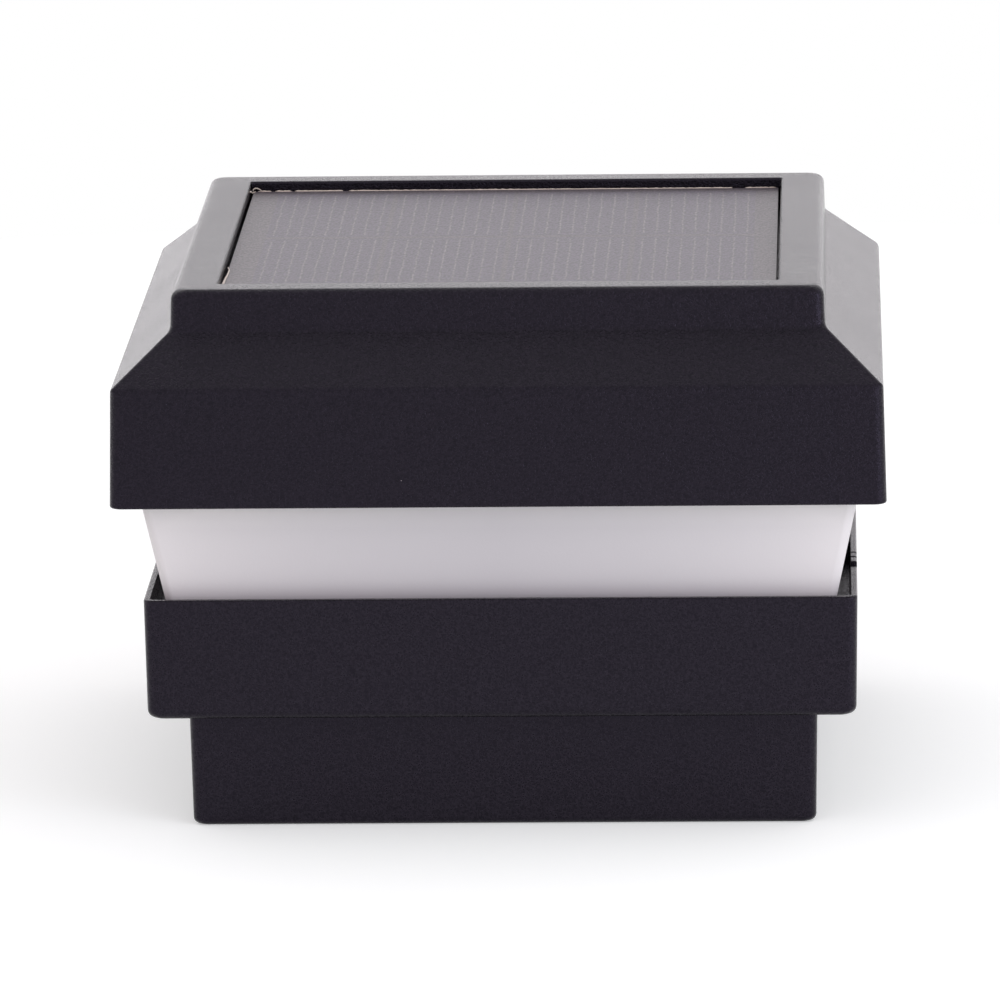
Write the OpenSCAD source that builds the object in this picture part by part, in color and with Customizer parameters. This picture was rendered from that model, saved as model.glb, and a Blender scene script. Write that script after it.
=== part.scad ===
// Deck post cap light: a square solar light that caps a fence or deck post.
// Millimetres, +Z up. The origin is the centre of the bottom edge, where the cap ends on the post.
// From the bottom up: an adapter sleeve for a wood post, a stepped base tray that fits a vinyl post
// without the adapter, a frosted bowl that spreads the light, and a lift-off head with the solar
// panel, circuit board and battery.

/* [Post] */
// Actual width of a nominal 4x4 wood post
post_w = 88.9; // [87:0.1:90]
// Play between the wood post and the adapter, each side
post_play = 0.6; // [0.4:0.05:0.8]
// Actual width of a 4x4 vinyl post, which fits the tray without the adapter
vinyl_w = 101.6; // [100.6:0.1:103]
// Play between the vinyl post and the tray, each side
vinyl_play = 0.25; // [0.15:0.05:0.5]

/* [Post adapter] */
// Wall of the adapter sleeve
adapter_wall = 1.6; // [1.2:0.1:2]
// Height of the sleeve that shows below the tray
adapter_h = 17.7; // [12:0.1:26]
// How far the sleeve leans in on its way down, each side
adapter_draft = 0.3; // [0:0.05:0.5]
// Thickness of the flange that closes the step
flange_t = 2; // [1.5:0.1:3]
// Play between the adapter and the tray's socket, each side
adapter_play = 0.15; // [0.1:0.05:0.3]

/* [Base tray] */
// Wall of the tray around the socket
tray_wall = 1.7; // [1.4:0.1:2]
// Height of the tray
tray_h = 18.3; // [15:0.1:22]
// How far the tray widens on its way up, each side
tray_draft = 0.25; // [0:0.05:0.4]
// Height of the rim above the tray's floor
lip_h = 5; // [4:0.1:6]
// Thickness of the rim at its top
rim_wall = 0.9; // [0.7:0.05:1.2]
// Thickness of the tray's floor
tray_floor = 1.8; // [1.4:0.1:2.4]
// Depth of the ribs under the floor that stop the post
stop_h = 1.2; // [0.8:0.1:2]
// Place of the notch that pries out the bowl, front to back
notch_y = -30.6; // [-40:0.1:-20]
// Width of that notch
notch_w = 4; // [3:0.1:6]
// Distance between the post screws, centre to centre
post_screw_gap = 60; // [50:1:66]
// Radius of a post screw's hole
post_screw_r = 2.1; // [1.8:0.1:2.5]

/* [Diffuser bowl] */
// Gap between the foot of the bowl and the tray's rim, each side
bowl_gap = 2.7; // [2:0.1:3]
// Height of the bowl
bowl_h = 24; // [22:0.5:30]
// Lean of the bowl's walls from upright, in degrees
bowl_flare = 11.5; // [8:0.5:14]
// Wall of the bowl
bowl_wall = 1.6; // [1.2:0.1:2]

/* [Head] */
// Wall of the head's shell
head_wall = 1.8; // [1.5:0.1:2.2]
// Gap between the rim of the bowl and the skirt, each side
skirt_gap = 1.6; // [1:0.1:2.5]
// How far the skirt hangs over the bowl
skirt_drop = 4.2; // [3.8:0.1:6]
// How far the skirt leans in on its way up, each side
skirt_draft = 0.4; // [0:0.05:0.6]
// Height of the sloping shoulder
shoulder_h = 7.3; // [6:0.1:9]
// Height of the raised frame round the panel
frame_h = 6; // [5:0.1:7]
// Width of the frame's border at its narrowest
border_w = 5.8; // [4.6:0.1:6.4]
// Radius of the upright corners
corner_r = 1.5; // [1:0.1:2.5]
// Radius of the frame's top edge
edge_r = 1.5; // [0.8:0.1:1.6]

/* [Solar panel] */
// Width of the panel, side to side
panel_w = 82.4; // [80:0.1:83]
// Depth of the panel, front to back
panel_d = 84.2; // [80:0.1:85]
// Thickness of the panel's backing board
backing_t = 1.2; // [0.8:0.1:1.6]
// Thickness of the clear sheet over the cells
sheet_t = 1.1; // [0.8:0.1:1.6]
// Gap round the panel in its recess
panel_gap = 0.4; // [0.2:0.05:0.6]
// Depth of the panel's face below the frame
panel_sink = 1.5; // [0.8:0.1:2]
// Solar cells in a row
cells_across = 4; // [3:1:5]
// Rows of solar cells
cell_rows = 2; // [1:1:3]

/* [Battery] */
// Diameter of the battery
battery_d = 14.2; // [13.8:0.1:16]
// Length of the battery
battery_l = 50.5; // [46:0.5:54]
// Travel of the on-off switch
switch_travel = 3; // [2:0.5:4]

/* [Hidden] */
$fn = 48;

arc_n = 5;          // steps in a rounded corner seen from above
fillet_n = 5;       // steps in a rounded edge
cut = 0.1;          // how far a cutting shape runs past the face it opens

// Heights of the base, from the bottom edge up
tray_z = adapter_h;
rim_z = tray_z + tray_h;
floor_z = rim_z - lip_h;
ceiling_z = floor_z - tray_floor;
stop_z = ceiling_z - stop_h;
bowl_top_z = floor_z + bowl_h;
skirt_z = bowl_top_z - skirt_drop;

// Half widths of the base, at the heights they are named for
sleeve_in = post_w / 2 + post_play;
sleeve_foot = sleeve_in + adapter_wall;
sleeve_top = sleeve_foot + adapter_draft;
socket_in = vinyl_w / 2 + vinyl_play;
tray_foot = socket_in + tray_wall;
tray_rim = tray_foot + tray_draft;
plug_out = socket_in - adapter_play;
plug_in = plug_out - adapter_wall;
pocket_rim = tray_rim - rim_wall;
pocket_foot = pocket_rim - 0.3;
bowl_foot = pocket_foot - bowl_gap;
function bowl_out(z) = bowl_foot + (z - floor_z) * tan(bowl_flare);
bowl_skin = bowl_wall / cos(bowl_flare);
groove_gap = 3.1;       // between the notch in the rim and its grip grooves
groove_w = 0.8;         // width of those grooves
catch_w = 4.2;          // width of a catch that holds down the bowl
foot_t = 1.4;           // thickness of the bowl's foot under that catch
foot_half = 4.2;        // half its width
foot_out = bowl_foot + 1.6;
function bowl_in(z) = bowl_out(z) - bowl_skin;
bowl_floor = bowl_wall;
screw_xy = post_screw_gap / 2;

// The underside cover and what it carries
cover_t = 2;
cover_z = bowl_top_z;
cover_top = cover_z + cover_t;
cover_play = 0.45;
ring_h = skirt_drop - 0.7;
ring_wall = 1.3;
ring_play = 0.4;
ring_out = bowl_in(cover_z - ring_h) - ring_play;
gasket_t = 0.6;

// The battery bay, built into the cover
battery_r = battery_d / 2;
battery_play = 0.3;
wrap_t = 0.15;
bay_play = 0.9;
bay_wall = 1.5;
bay_y = 16;
contact_t = 0.4;
contact_bulge = 0.6;
tail_w = 3;
tail_h = 1.4;
spring_l = 4.5;
bay_half_l = (battery_l + spring_l + 2 * contact_t + contact_bulge) / 2;
bay_half_w = battery_r + bay_play;
battery_z = cover_top + battery_play + battery_r;
bay_top = battery_z + battery_r + 2 * battery_play;
bay_roof = bay_top + bay_wall;
battery_front = bay_half_l - contact_t - contact_bulge;
battery_back = battery_front - battery_l;

// The battery door, in its recess in the cover
door_t = 1.6;
door_gap = 0.3;
door_screw_x = bay_half_l + 3.3;
door_screw_r = 1.1;
door_boss_r = 2.6;
door_boss_h = 6;
door_half_l = door_screw_x + 3.2;
door_half_w = bay_half_w + 2.5;
ledge_t = 1.5;

// Heights of the head, from the battery bay up
roof_gap = 2.1;
panel_floor = 1.8;
sealant_t = 0.3;
cell_t = 0.3;
panel_t = backing_t + cell_t + sheet_t;
deck_z = bay_roof + roof_gap;
deck_top = deck_z + panel_floor;
backing_z = deck_top + sealant_t;
cell_z = backing_z + backing_t;
sheet_z = cell_z + cell_t;
frame_top = backing_z + panel_t + panel_sink;
frame_z = frame_top - frame_h;
shoulder_z = frame_z - shoulder_h;

// Half widths of the head
skirt_foot = bowl_out(bowl_top_z) + skirt_gap + head_wall;
skirt_top = skirt_foot - skirt_draft;
window_x = panel_w / 2 + panel_gap;
window_y = panel_d / 2 + panel_gap;
frame_half = max(window_x, window_y) + border_w;
frame_lean = 0.2;
window_r = 0.3;         // rounding of the recess's upright corners
lip_r = 0.4;            // rounding of the recess's upper edge
crease_r = 1.2;         // rounding where the shoulder meets the skirt and the frame
hip_r = 0.4;            // rounding of the hips, where the shoulder's slopes meet
hem_r = 0.4;            // rounding of the skirt's lower edge
cover_half = skirt_foot - skirt_draft / 2 - head_wall - cover_play;
seal_rib_out = cover_half - 2.8;
seal_rib_wall = 1.4;
boss_r = 3.4;
boss_xy = seal_rib_out - seal_rib_wall - boss_r - 1.7;

// Screws: shank radius, head radius, head height and length under the head
cover_screw = [1.4, 2.8, 1.8, 9];
board_screw = [0.95, 1.9, 1.2, 4];
door_screw = [door_screw_r, 2.2, 1.5, 6];
pilot_play = 0.05;
hole_play = 0.3;

// The circuit board and what is soldered to it
board_t = 1.6;
board_lift = 3;
board_z = cover_top + board_lift;
board_top = board_z + board_t;
board_half_w = bay_half_l + 1.3;
board_d = 28;
board_back = bay_y - door_half_w - 5.5;
board_front = board_back - board_d;
post_r = 2.4;
board_screw_x = board_half_w - 4;
board_screw_y = (board_front + board_back) / 2;
led_x = 14;
led_y = board_back - 5;
led_r = 2.5;
led_flange_r = 2.9;
led_leg = 1;
led_l = 8.6;
switch_y = board_front + 6;
switch_size = [13, 6.4];
knob_size = [5, 3.6];
knob_out = 1.4;
slot_play = 0.3;
knob_slot = knob_size[0] + switch_travel + 2 * slot_play;
wire_r = 0.6;
lead_x = 2;
lead_y = board_back - 4;
wire_hole_r = 3.4;
battery_lead_x = bay_half_l - contact_t - wire_r - 0.1;

// The solar cells: margins to the panel's edges, low and high, and gaps between cells
margin_x = [4, 3.4];
margin_y = [6.4, 2.6];
cell_gap = [0.8, 1.6];
cells_x = [margin_x[0] - panel_w / 2, panel_w / 2 - margin_x[1]];
cells_y = [margin_y[0] - panel_d / 2, panel_d / 2 - margin_y[1]];
cell_w = (cells_x[1] - cells_x[0] - (cells_across - 1) * cell_gap[0]) / cells_across;
cell_d = (cells_y[1] - cells_y[0] - (cell_rows - 1) * cell_gap[1]) / cell_rows;
function cell_y(j) = cells_y[0] + j * (cell_d + cell_gap[1]);
sheet_rim = 0.5;        // from the cells to where the sheet wraps down
ribbon_w = 1.5;
ribbon_t = 0.15;

// ---- Shapes that several pieces share ----

// A square outline with round corners, as points at one height. h is the half width, or [x, y] halves.
function ring(h, r, z) =
    let (hx = is_list(h) ? h[0] : h, hy = is_list(h) ? h[1] : h)
    [for (c = [0:3], i = [0:arc_n])
        let (a = 90 * (c + i / arc_n),
             mx = (c == 0 || c == 3) ? hx - r : r - hx,
             my = c < 2 ? hy - r : r - hy)
        [mx + r * cos(a), my + r * sin(a), z]];

// A solid through a list of rings, from the lowest to the highest
module loft(rings) {
    n = len(rings[0]);
    m = len(rings);
    polyhedron(
        points = [for (one = rings) each one],
        faces = concat(
            [[for (i = [0:n - 1]) i]],
            [[for (i = [n - 1:-1:0]) (m - 1) * n + i]],
            [for (j = [0:m - 2], i = [0:n - 1])
                let (a = j * n + i, b = j * n + (i + 1) % n) [a, a + n, b + n]],
            [for (j = [0:m - 2], i = [0:n - 1])
                let (a = j * n + i, b = j * n + (i + 1) % n) [a, b + n, b]]));
}

// A straight block with round upright corners
module block(h, r, z0, z1) loft([ring(h, r, z0), ring(h, r, z1)]);

// The arc that rounds the corner at b of the line a, b, c
function fillet(a, b, c, r) =
    let (u = (a - b) / norm(a - b), v = (c - b) / norm(c - b),
         bend = acos(u * v), mid = b + (u + v) / norm(u + v) * r / sin(bend / 2),
         p = b + u * r / tan(bend / 2) - mid, q = b + v * r / tan(bend / 2) - mid,
         a0 = atan2(p[1], p[0]), d = atan2(q[1], q[0]) - a0,
         turn = d > 180 ? d - 360 : d < -180 ? d + 360 : d)
    [for (i = [0:fillet_n]) mid + r * [cos(a0 + turn * i / fillet_n), sin(a0 + turn * i / fillet_n)]];

// A moulding from a profile of [half width, height, edge radius]. Its first and last points only aim
// the ends. r is the radius of its upright corners, or a table of [height, radius].
function moulding(profile, r) =
    [for (i = [1:len(profile) - 2])
        let (p = profile[i], at = [p[0], p[1]],
             before = [profile[i - 1][0], profile[i - 1][1]],
             after = [profile[i + 1][0], profile[i + 1][1]])
        for (q = p[2] > 0 ? fillet(before, at, after, p[2]) : [at])
            ring(q[0], is_list(r) ? lookup(q[1], r) : r, q[1])];

// A box from the lowest and highest x, y and z
module box(x, y, z) translate([x[0], y[0], z[0]]) cube([x[1] - x[0], y[1] - y[0], z[1] - z[0]]);

// The lowest and highest of a width w about c
function about(c, w) = [c - w / 2, c + w / 2];

// An upright cylinder between two heights, for a boss or a hole
module rod(r, z) translate([0, 0, z[0]]) cylinder(h = z[1] - z[0], r = r);

// What stands at x on both sides
module pair(x, y) for (s = [-1, 1]) translate([s * x, y, 0]) children();

module at_corners(x, y) for (sx = [-1, 1], sy = [-1, 1]) translate([sx * x, sy * y, 0]) children();

module mirror_x() { children(); mirror([1, 0, 0]) children(); }

// A round tube along a path. side is a direction that the path never runs along.
module tube(path, r, sides, side) {
    n = len(path);
    rings = [for (k = [0:n - 1])
        let (t = path[min(k + 1, n - 1)] - path[max(k - 1, 0)], u = cross(side, t), v = cross(t, u))
        [for (i = [0:sides - 1])
            path[k] + r * (cos(360 * i / sides) * u / norm(u) + sin(360 * i / sides) * v / norm(v))]];
    loft(rings);
}

// A smooth curve from a to d, aimed by b and c
function curve(a, b, c, d, steps) =
    [for (i = [0:steps]) let (t = i / steps, s = 1 - t)
        s * s * s * a + 3 * s * s * t * b + 3 * s * t * t * c + t * t * t * d];

// A pan head screw that points up from its seat at the origin. size is as listed above.
module screw(size) {
    dome = size[2] * 0.45;
    tip = size[0] * 1.4;
    difference() {
        rotate_extrude() polygon([
            [0, -size[2]], [size[1] * 0.55, -size[2] * 0.97], [size[1] * 0.85, -size[2] * 0.8],
            [size[1], -dome], [size[1], 0], [size[0], 0],
            [size[0], size[3] - tip], [0.2, size[3]], [0, size[3]]]);
        for (a = [0, 90]) rotate(a)
            translate([-size[1] * 0.55, -size[1] * 0.11, -size[2] - cut])
                cube([size[1] * 1.1, size[1] * 0.22, size[2] * 0.6 + cut]);
    }
}

// ---- The base ----

// Square sleeve for a wood post, with a flange and plug that fill the tray's socket
module post_adapter() {
    rib_w = 1.2;
    crush = 0.3;
    rib_x = sleeve_in * 0.6;
    color([0.09, 0.08, 0.1]) union() {
        difference() {
            union() {
                loft(moulding([
                    [0, 0],
                    [sleeve_foot, 0, 0.7 * adapter_wall],
                    [sleeve_top, tray_z, 0],
                    [0, tray_z]], corner_r));
                block(plug_out, corner_r - adapter_play, tray_z, ceiling_z);
            }
            box([-sleeve_in, sleeve_in], [-sleeve_in, sleeve_in], [-cut, ceiling_z + cut]);
            box([-plug_in, plug_in], [-plug_in, plug_in], [tray_z + flange_t, ceiling_z + cut]);
        }
        for (a = [0:90:270], s = [-1, 1]) rotate(a) {
            // Ribs that grip the post
            box([s * rib_x - rib_w / 2, s * rib_x + rib_w / 2],
                [sleeve_in - crush, sleeve_in + cut], [3, tray_z + flange_t]);
            // Gussets between the flange and the plug
            translate([s * rib_x - rib_w / 2, 0, tray_z + flange_t - cut]) rotate([90, 0, 90])
                linear_extrude(rib_w) polygon([
                    [sleeve_in + 0.5, 0], [plug_in + cut, 0],
                    [plug_in + cut, (ceiling_z - tray_z) * 0.6], [sleeve_in + 0.5, 1]]);
        }
    }
}

// Upper tier of the base: a shallow tray for the bowl above, a socket for the post below
module base_tray() {
    pad = socket_in - 11;
    rib = 1.6;
    pocket_r = corner_r - 0.6;
    rib_z = [stop_z, ceiling_z + cut];
    color([0.12, 0.11, 0.14]) difference() {
        union() {
            difference() {
                loft(moulding([
                    [0, tray_z],
                    [tray_foot, tray_z, 0.87 * tray_wall],
                    [tray_rim, rim_z, 0.25],
                    [0, rim_z]], corner_r));
                box([-socket_in, socket_in], [-socket_in, socket_in], [tray_z - cut, ceiling_z]);
                loft([ring(pocket_foot, pocket_r, floor_z), ring(pocket_rim, pocket_r, rim_z + cut)]);
            }
            // Ribs that the end of the post stands against
            difference() {
                box([-pad, pad], [-pad, pad], [stop_z, ceiling_z + cut]);
                box([-pad + rib, pad - rib], [-pad + rib, pad - rib], [stop_z - cut, ceiling_z]);
            }
            for (s = [-1, 0, 1]) {
                box(about(s * screw_xy, rib), [-pad, pad], rib_z);
                box([-pad, pad], about(s * screw_xy, rib), rib_z);
            }
            at_corners(screw_xy, screw_xy) rod(2 * post_screw_r, rib_z);
            mirror_x() tray_catch();
        }
        at_corners(screw_xy, screw_xy) rod(post_screw_r, [stop_z - cut, floor_z + cut]);
        for (a = [0, 180]) rotate(a) pry_notch();
    }
}

// Notch in the rim for prying out the bowl, with two grip grooves behind it
module pry_notch() {
    x = [pocket_foot - 0.5, tray_rim + 0.5];
    box(x, about(notch_y, notch_w), [rim_z - 0.7, rim_z + cut]);
    for (i = [1, 2]) {
        y = notch_y + notch_w / 2 + i * groove_gap;
        box(x, about(y, groove_w), [rim_z - 0.5, rim_z + cut]);
    }
}

// A nub that holds down the bowl's foot, between two ribs that keep the bowl from turning
module tray_catch() {
    rib = 0.7;
    play = 0.3;
    nub = [foot_t + 0.1, foot_t + 1.5];
    x = [bowl_out(floor_z + nub[1] + 0.4) + play, pocket_foot + 0.5];
    box(x, about(0, catch_w), [floor_z + nub[0], floor_z + nub[1]]);
    for (s = [-1, 1]) {
        y = s * (foot_half + play + rib / 2);
        box(x, about(y, rib), [floor_z - cut, floor_z + nub[1]]);
    }
}

// Frosted bowl that spreads the light. Its floor has holes for the post screws.
module diffuser_bowl() {
    in_z = floor_z + bowl_floor;
    top_z = bowl_top_z + cut;
    color([0.86, 0.83, 0.86]) difference() {
        union() {
            loft(moulding([
                [0, floor_z],
                [bowl_foot, floor_z, 0.6],
                [bowl_out(bowl_top_z), bowl_top_z, 0],
                [0, bowl_top_z]], corner_r));
            mirror_x() box([bowl_foot - 1, foot_out], [-foot_half, foot_half], [floor_z, floor_z + foot_t]);
        }
        loft(moulding([
            [0, in_z],
            [bowl_in(in_z), in_z, 0.8],
            [bowl_in(top_z), top_z, 0],
            [0, top_z]], 0.9));
        at_corners(screw_xy, screw_xy) rod(post_screw_r * 2.2, [floor_z - cut, in_z + cut]);
    }
}

// ---- The head ----

// Outside of the head, or the same form taken in by wall, with its top taken down as much
module head_form(wall, foot_z) {
    slope = atan2(shoulder_h, skirt_top - frame_half - frame_lean);
    drop = wall * tan(slope / 2);
    round_in = wall > 0 ? 0.3 : 1;
    reach = crease_r * tan((90 - slope) / 2);
    corners = [
        [shoulder_z - reach, corner_r], [shoulder_z + reach * sin(slope), hip_r],
        [frame_z - reach * sin(slope), hip_r], [frame_z + reach, corner_r]];
    loft(moulding([
        [0, foot_z],
        [skirt_foot - wall, foot_z, wall > 0 ? 0 : hem_r],
        [skirt_top - wall, shoulder_z - drop, crease_r * round_in],
        [frame_half + frame_lean - wall, frame_z - drop, crease_r],
        [frame_half - wall, frame_top - wall, edge_r * round_in],
        [0, frame_top - wall]], wall > 0 ? corner_r * 0.4 : corners));
}

// Black shell of the head: skirt, sloping shoulder and the raised frame round the panel
module head_housing() {
    rib_z = cover_top + gasket_t;
    rib_in = seal_rib_out - seal_rib_wall;
    rib_w = 1.2;
    pilot_z = cover_z + cover_screw[3] + 1;
    color([0.1, 0.09, 0.11]) difference() {
        union() {
            difference() {
                head_form(0, skirt_z);
                difference() {
                    head_form(head_wall, skirt_z - cut);
                    block([window_x + head_wall, window_y + head_wall], 2 * window_r, deck_z, frame_top);
                }
            }
            // Seal rib round the electronics, screw bosses in its corners and ribs out to the skirt
            intersection() {
                head_form(head_wall / 2, rib_z - 1);
                union() {
                    difference() {
                        block(seal_rib_out, corner_r, rib_z, deck_z + cut);
                        block(rib_in, corner_r / 2, rib_z - cut, deck_z + 2 * cut);
                    }
                    at_corners(boss_xy, boss_xy) rod(boss_r, [cover_top, frame_top - head_wall]);
                    for (a = [0:90:270], x = [-1, 0, 1]) rotate(a)
                        box(about(x * boss_xy * 0.6, rib_w), [rib_in + cut, skirt_foot], [rib_z, deck_z]);
                }
            }
        }
        recess();
        translate([0, lead_y, 0]) rod(wire_hole_r, [deck_z - cut, deck_top + cut]);
        at_corners(boss_xy, boss_xy) rod(cover_screw[0] + pilot_play, [cover_top - cut, pilot_z]);
    }
}

// Space for the panel, with a rounded upper edge
module recess()
    loft(concat(
        [ring([window_x, window_y], window_r, deck_top)],
        [for (i = [0:fillet_n])
            let (a = 90 * i / fillet_n, out = lip_r * (1 - cos(a)))
            ring([window_x + out, window_y + out], window_r + out, frame_top + lip_r * (sin(a) - 1))],
        [ring([window_x + lip_r, window_y + lip_r], window_r + lip_r, frame_top + cut)]));

// Bead of sealant that the panel is bedded on
module panel_sealant() {
    bead = 3;
    color([0.82, 0.8, 0.76]) difference() {
        block([panel_w / 2, panel_d / 2], 0.3, deck_top, backing_z);
        block([panel_w / 2 - bead, panel_d / 2 - bead], 0.3, deck_top - cut, backing_z + cut);
    }
}

// Circuit board that carries the solar cells
module panel_backing()
    color([0.13, 0.13, 0.15]) box(about(0, panel_w), about(0, panel_d), [backing_z, cell_z]);

// Crystalline cells in rows
module solar_cells()
    color([0.13, 0.13, 0.2])
        for (i = [0:cells_across - 1], j = [0:cell_rows - 1])
            translate([cells_x[0] + i * (cell_w + cell_gap[0]), cell_y(j), cell_z])
                cube([cell_w, cell_d, cell_t - ribbon_t]);

// Tinned ribbons that join the cells of each row, across the cells' middles
module cell_ribbons()
    color([0.75, 0.75, 0.76])
        for (j = [0:cell_rows - 1])
            box(cells_x + [1, -1], about(cell_y(j) + cell_d / 2, ribbon_w), [sheet_z - ribbon_t, sheet_z]);

// Clear sheet over the cells, the face of the panel. It wraps down to the backing at its edge.
module panel_sheet()
    color([0.5, 0.48, 0.53]) difference() {
        box(about(0, panel_w), about(0, panel_d), [cell_z, sheet_z + sheet_t]);
        box(cells_x + sheet_rim * [-1, 1], cells_y + sheet_rim * [-1, 1], [cell_z - cut, sheet_z]);
    }

// Plug of silicone where the panel's leads go through the deck
module wire_seal()
    color([0.85, 0.85, 0.83]) difference() {
        translate([0, lead_y, 0]) rod(wire_hole_r, [deck_z, deck_top]);
        pair(lead_x, lead_y) rod(wire_r + pilot_play, [deck_z - cut, deck_top + cut]);
    }

// A lead from the panel's backing down to the circuit board
module panel_lead(x) {
    pad_y = lead_y - 8 * wire_r;
    tube(concat(
        [[x, lead_y, backing_z], [x, lead_y, deck_z - wire_r]],
        curve([x, lead_y, deck_z - 2 * wire_r], [x, lead_y, deck_z - 11 * wire_r],
              [x, pad_y, board_top + 11 * wire_r], [x, pad_y, board_top + 2 * wire_r], 9),
        [[x, pad_y, board_top]]), wire_r, 8, [1, 0, 0]);
}

module panel_lead_red() color([0.7, 0.08, 0.07]) panel_lead(lead_x);

module panel_lead_black() color([0.06, 0.06, 0.07]) panel_lead(-lead_x);

// White cover that closes the head from below, with the battery bay moulded in
module under_cover() {
    saddle = 1.2;
    through = [cover_z - cut, cover_top + cut];
    slot_x = bay_half_l - contact_t / 2;
    roof_cut = bay_roof + cut;
    color([0.9, 0.9, 0.88]) difference() {
        union() {
            block(cover_half, corner_r, cover_z, cover_top);
            // Ring that drops inside the bowl's rim and centres the head on it
            difference() {
                block(ring_out, corner_r, cover_z - ring_h, cover_z + cut);
                block(ring_out - ring_wall, corner_r / 2, cover_z - ring_h - cut, cover_z);
            }
            // Battery bay and the ledge that the door seats under
            translate([0, bay_y, 0]) {
                block([bay_half_l + bay_wall, bay_half_w + bay_wall], 1, cover_z, bay_roof);
                block([door_half_l + bay_wall, door_half_w + bay_wall], 1, cover_z, cover_top + ledge_t);
            }
            pair(door_screw_x, bay_y) rod(door_boss_r, [cover_top, cover_top + door_boss_h + 1]);
            // Posts under the circuit board
            pair(board_screw_x, board_screw_y) rod(post_r, [cover_z, board_z]);
        }
        translate([0, bay_y, 0]) {
            block([bay_half_l, bay_half_w], 0.5, cover_z - cut, bay_top);
            block([door_half_l + door_gap, door_half_w + door_gap], 0.8, cover_z - cut, cover_top);
            // Slots in the roof for the contacts' tails
            for (s = [-1, 1])
                box(about(s * slot_x, contact_t + 0.2), about(0, tail_w + 0.2), [bay_top - cut, roof_cut]);
        }
        pair(door_screw_x, bay_y) rod(door_screw_r + pilot_play, [cover_top - cut, cover_top + door_boss_h]);
        at_corners(boss_xy, boss_xy) rod(cover_screw[0] + hole_play, through);
        pair(led_x, led_y) rod(led_r + hole_play, through);
        pair(board_screw_x, board_screw_y) rod(board_screw[0] + pilot_play, [cover_z + 0.8, board_z + cut]);
        box(about(0, knob_slot), about(switch_y, knob_size[1] + 2 * slot_play), through);
    }
    // Saddles in the roof of the bay that stop the battery rattling
    color([0.9, 0.9, 0.88]) for (x = [-0.3, 0.3]) translate([x * battery_l, bay_y, 0]) difference() {
        box(about(0, saddle), about(0, 2 * bay_half_w), [battery_z + 2, bay_top]);
        translate([0, 0, battery_z]) rotate([0, 90, 0])
            cylinder(h = 2 * saddle, r = battery_r + battery_play, center = true);
    }
}

// Foam gasket between the cover and the head's seal rib
module cover_gasket()
    color([0.2, 0.2, 0.21]) difference() {
        block(seal_rib_out + 0.8, corner_r, cover_top, cover_top + gasket_t);
        block(seal_rib_out - seal_rib_wall - 0.8, corner_r / 2, cover_top - cut, cover_top + 2 * gasket_t);
    }

module cover_screws()
    color([0.62, 0.62, 0.64]) at_corners(boss_xy, boss_xy) translate([0, 0, cover_z]) screw(cover_screw);

// Circuit board of the charger and lamp driver
module circuit_board()
    color([0.1, 0.32, 0.16]) difference() {
        box([-board_half_w, board_half_w], [board_front, board_back], [board_z, board_top]);
        pair(board_screw_x, board_screw_y) rod(board_screw[0] + hole_play, [board_z - cut, board_top + cut]);
    }

module board_screws()
    color([0.62, 0.62, 0.64]) pair(board_screw_x, board_screw_y)
        translate([0, 0, board_top]) mirror([0, 0, 1]) screw(board_screw);

// Driver chip in a small flat package, standing on four legs
module driver_chip() {
    size = [5.2, 1.6, 4];
    legs = 2;
    color([0.07, 0.07, 0.08]) translate([0.31 * board_half_w, board_front + 0.32 * board_d, board_top]) {
        box(about(0, size[0]), about(0, size[1]), [legs, legs + size[2]]);
        for (i = [-1.5:1:1.5]) box(about(i * 1.27, 0.5), about(0, 0.4), [0, legs + cut]);
    }
}

// Axial inductor lying on the board
module inductor() {
    r = 2;
    half = 4.5;
    lead = 0.6;
    foot_x = half + 1.5;
    side = [[r * 0.8, half], [r, half * 0.72], [r * 0.88, half * 0.5]];
    color([0.2, 0.42, 0.3]) translate([-0.44 * board_half_w, board_front + 0.32 * board_d, board_top + r]) {
        rotate([0, 90, 0]) rotate_extrude() polygon(concat(
            [[0, half]], side, [for (i = [2:-1:0]) [side[i][0], -side[i][1]]], [[0, -half]]));
        for (s = [0, 1]) mirror([s, 0, 0]) {
            box([half - cut, foot_x], about(0, lead), about(0, lead));
            box(about(foot_x, lead), about(0, lead), [-r, lead / 2]);
        }
    }
}

// Electrolytic capacitor standing on the board
module capacitor()
    color([0.16, 0.17, 0.3]) translate([0.6 * board_half_w, board_front + 0.57 * board_d, board_top])
        rotate_extrude() polygon([
        [0, 0], [2.5, 0], [2.5, 0.8], [2.3, 1.1], [2.5, 1.4], [2.5, 6.7], [2.2, 7], [0, 7]]);

// Round 5 mm lamp on two legs, pointing down through the cover
module led(x) {
    dome = [for (i = [0:6]) [led_r * cos(15 * i), led_l - led_r + led_r * sin(15 * i)]];
    color([0.95, 0.93, 0.8]) translate([x, led_y, board_z]) mirror([0, 0, 1]) {
        translate([0, 0, led_leg]) rotate_extrude()
            polygon(concat([[0, 0], [led_flange_r, 0], [led_flange_r, 1], [led_r, 1]], dome));
        for (s = [-1, 1]) box(about(s * 1.27, 0.5), about(0, 0.5), [0, led_leg + cut]);
    }
}

module left_led() led(-led_x);

module right_led() led(led_x);

// Slide switch on the underside of the board: metal can with a slot for the knob
module switch_body() {
    gap = 0.2;
    color([0.7, 0.7, 0.7]) difference() {
        box(about(0, switch_size[0]), about(switch_y, switch_size[1]), [cover_top, board_z]);
        box(about(0, knob_slot), about(switch_y, knob_size[1] + 2 * gap), [cover_top - cut, board_z - 0.9]);
    }
}

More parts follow.
